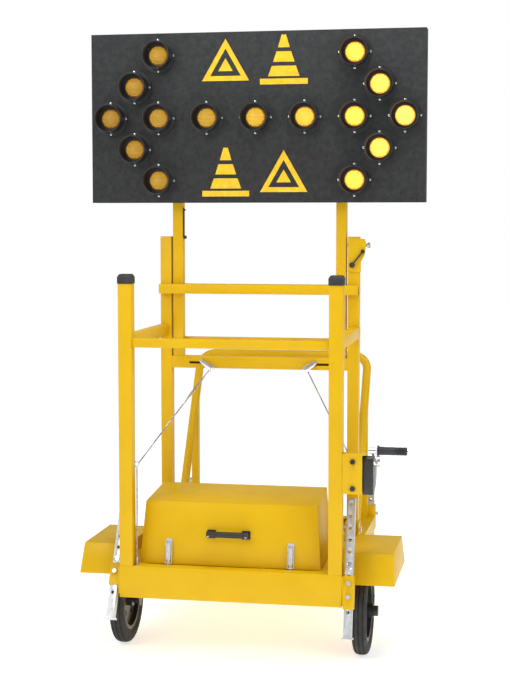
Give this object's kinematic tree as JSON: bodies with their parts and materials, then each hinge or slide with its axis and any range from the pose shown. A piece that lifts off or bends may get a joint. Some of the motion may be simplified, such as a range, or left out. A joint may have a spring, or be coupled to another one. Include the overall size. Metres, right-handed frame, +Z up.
{
  "type": "arrow board trailer",
  "caption": "Hand-pushed two-wheeled trailer with a tilting, telescoping mast carrying a flashing lamp arrow board, a battery box, a hand winch and adjustable legs.",
  "frame": {"origin": "on the ground under the middle of the bounding box", "axes": "+Z up, the arrow board faces -Y, +X to the right seen from the front"},
  "size_m": [1.2, 1.217, 2.141],
  "materials": {
    "yellow_paint": "gloss",
    "strap_paint": "gloss",
    "black_paint": "satin",
    "board_paint": "fine matte texture",
    "tyre": "matte",
    "black_rubber": "matte",
    "black_plastic": "matte",
    "amber_lens": "prismatic",
    "battery_plastic": "matte",
    "grey_plastic": "satin",
    "zinc": "zinc plated",
    "bright_steel": "bright",
    "black_steel": "blackened",
    "wire_rope": "stranded"
  },
  "bodies": {
    "root": {"tray": "yellow_paint", "axle": "black_paint", "fender_left": "yellow_paint", "fender_right": "yellow_paint", "front_post_left": "yellow_paint", "front_post_right": "yellow_paint", "post_caps": "black_rubber", "side_rails": "yellow_paint", "front_beam": "yellow_paint", "mast_feet": "yellow_paint", "mast_pivot_pins": "zinc", "push_handle": "yellow_paint", "handle_struts": "yellow_paint", "batteries": "battery_plastic", "controller": "grey_plastic", "cover_hinges": "zinc", "latch_keepers": "zinc", "winch_plate": "yellow_paint", "winch_bolts": "black_steel", "winch_frame": "black_paint", "winch_case": "black_paint", "leg_sleeves": "yellow_paint", "clamp_bolts": "zinc", "rope_eye": "zinc", "rope_tail": "wire_rope", "rope_left": "wire_rope", "rope_right": "wire_rope"},
    "wheel_left": {"tyre_left": "tyre", "rim_left": "black_paint"},
    "wheel_right": {"tyre_right": "tyre", "rim_right": "black_paint"},
    "mast": {"outer_post_left": "yellow_paint", "outer_post_right": "yellow_paint", "crossbar": "yellow_paint", "lower_beam": "yellow_paint", "mast_guides": "strap_paint", "rope_lugs": "bright_steel", "lock_bracket": "yellow_paint"},
    "head": {"inner_post_left": "yellow_paint", "inner_post_right": "yellow_paint", "board_case": "board_paint", "board_back": "board_paint", "lamp_hoods": "black_plastic", "lamp_lenses": "amber_lens"},
    "lock_lever_left": {"lock_lever_left": "black_plastic"},
    "lock_lever_right": {"lock_lever_right": "black_plastic"},
    "lock_pin": {"lock_pin": "bright_steel"},
    "cover": {"box_cover": "yellow_paint", "cover_handle": "black_plastic", "latch_bases": "zinc"},
    "latch_left": {"latch_left": "zinc"},
    "latch_right": {"latch_right": "zinc"},
    "front_leg_left": {"front_leg_left": "zinc"},
    "front_leg_right": {"front_leg_right": "zinc"},
    "rear_leg_left": {"rear_leg_left": "zinc"},
    "rear_leg_right": {"rear_leg_right": "zinc"},
    "drum": {"rope_drum": "bright_steel", "drum_gear": "bright_steel"},
    "crank": {"crank": "bright_steel"},
    "grip": {"crank_grip": "black_rubber"}
  },
  "joints": [
    {"name": "wheel_left_spin", "type": "hinge", "parent": "root", "child": "wheel_left", "pos_m": [-0.418, -0.23946, 0.15], "axis": [1, 0, 0], "continuous": true},
    {"name": "wheel_right_spin", "type": "hinge", "parent": "root", "child": "wheel_right", "pos_m": [0.418, -0.23946, 0.15], "axis": [1, 0, 0], "continuous": true},
    {"name": "mast_tilt", "type": "hinge", "parent": "root", "child": "mast", "pos_m": [0, 0.06754, 0.365], "axis": [1, 0, 0], "range_deg": [-39, 0]},
    {"name": "board_raise", "type": "slide", "parent": "mast", "child": "head", "axis": [0, 0, 1], "range_m": [0, 0.25]},
    {"name": "lock_lever_right_turn", "type": "hinge", "parent": "mast", "child": "lock_lever_right", "pos_m": [0.377, 0.03754, 1.368], "axis": [0, -1, 0], "range_deg": [0, 50]},
    {"name": "lock_pin_slide", "type": "slide", "parent": "mast", "child": "lock_pin", "axis": [-1, 0, 0], "range_m": [0, 0.02]},
    {"name": "lock_lever_left_swing", "type": "hinge", "parent": "head", "child": "lock_lever_left", "pos_m": [-0.2805, 0.05954, 1.516], "axis": [1, 0, 0], "range_deg": [-40, 40]},
    {"name": "cover_open", "type": "hinge", "parent": "root", "child": "cover", "pos_m": [-0.01, -0.14946, 0.332], "axis": [-1, 0, 0], "range_deg": [0, 60]},
    {"name": "latch_left_open", "type": "hinge", "parent": "cover", "child": "latch_left", "pos_m": [-0.218, -0.42567, 0.39345], "axis": [-1, 0, 0], "range_deg": [0, 80]},
    {"name": "latch_right_open", "type": "hinge", "parent": "cover", "child": "latch_right", "pos_m": [0.198, -0.42567, 0.39345], "axis": [-1, 0, 0], "range_deg": [0, 80]},
    {"name": "front_leg_left_slide", "type": "slide", "parent": "root", "child": "front_leg_left", "axis": [0, -0.4756, -0.8796], "range_m": [0, 0.15]},
    {"name": "front_leg_right_slide", "type": "slide", "parent": "root", "child": "front_leg_right", "axis": [0, -0.2079, -0.9781], "range_m": [0, 0.11]},
    {"name": "rear_leg_left_slide", "type": "slide", "parent": "root", "child": "rear_leg_left", "axis": [0, 0, 1], "range_m": [0, 0.08]},
    {"name": "rear_leg_right_slide", "type": "slide", "parent": "root", "child": "rear_leg_right", "axis": [0, 0, 1], "range_m": [0, 0.08]},
    {"name": "drum_spin", "type": "hinge", "parent": "root", "child": "drum", "pos_m": [0.41, -0.41746, 0.655], "axis": [1, 0, 0], "continuous": true},
    {"name": "crank_spin", "type": "hinge", "parent": "root", "child": "crank", "pos_m": [0.48, -0.45246, 0.7], "axis": [1, 0, 0], "continuous": true},
    {"name": "grip_spin", "type": "hinge", "parent": "crank", "child": "grip", "pos_m": [0.55, -0.59154, 0.75619], "axis": [1, 0, 0], "continuous": true}
  ],
  "couplings": [
    {"joint": "drum_spin", "follows": "mast_tilt", "ratio": 36},
    {"joint": "crank_spin", "follows": "mast_tilt", "ratio": -144},
    {"joint": "lock_pin_slide", "follows": "lock_lever_right_turn", "m_per_rad": 0.022908}
  ]
}
